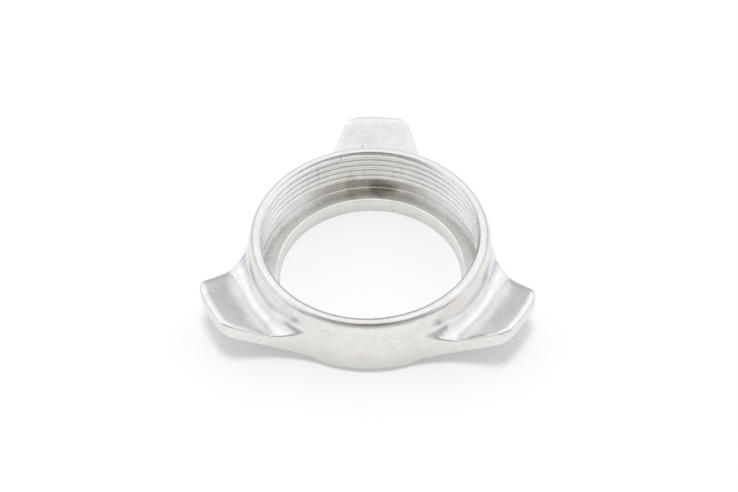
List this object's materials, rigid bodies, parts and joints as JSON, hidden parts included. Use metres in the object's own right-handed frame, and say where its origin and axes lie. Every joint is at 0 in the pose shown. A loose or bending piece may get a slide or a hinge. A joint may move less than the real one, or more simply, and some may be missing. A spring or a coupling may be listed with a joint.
{
  "type": "lock nut",
  "caption": "Winged ring nut that screws over a round housing and clamps a plate against its inner seat; scooped hand wings rise around the ring.",
  "frame": {"origin": "on the ring's axis, in the plane of the foot that it stands on", "axes": "+Z along the axis towards the threaded mouth, +Y along the middle of one wing"},
  "size_m": [0.1138, 0.1035, 0.025],
  "materials": {
    "polished_steel": "satin polished, with fine turning lines"
  },
  "bodies": {
    "root": {"lock_nut": "polished_steel"}
  },
  "joints": []
}
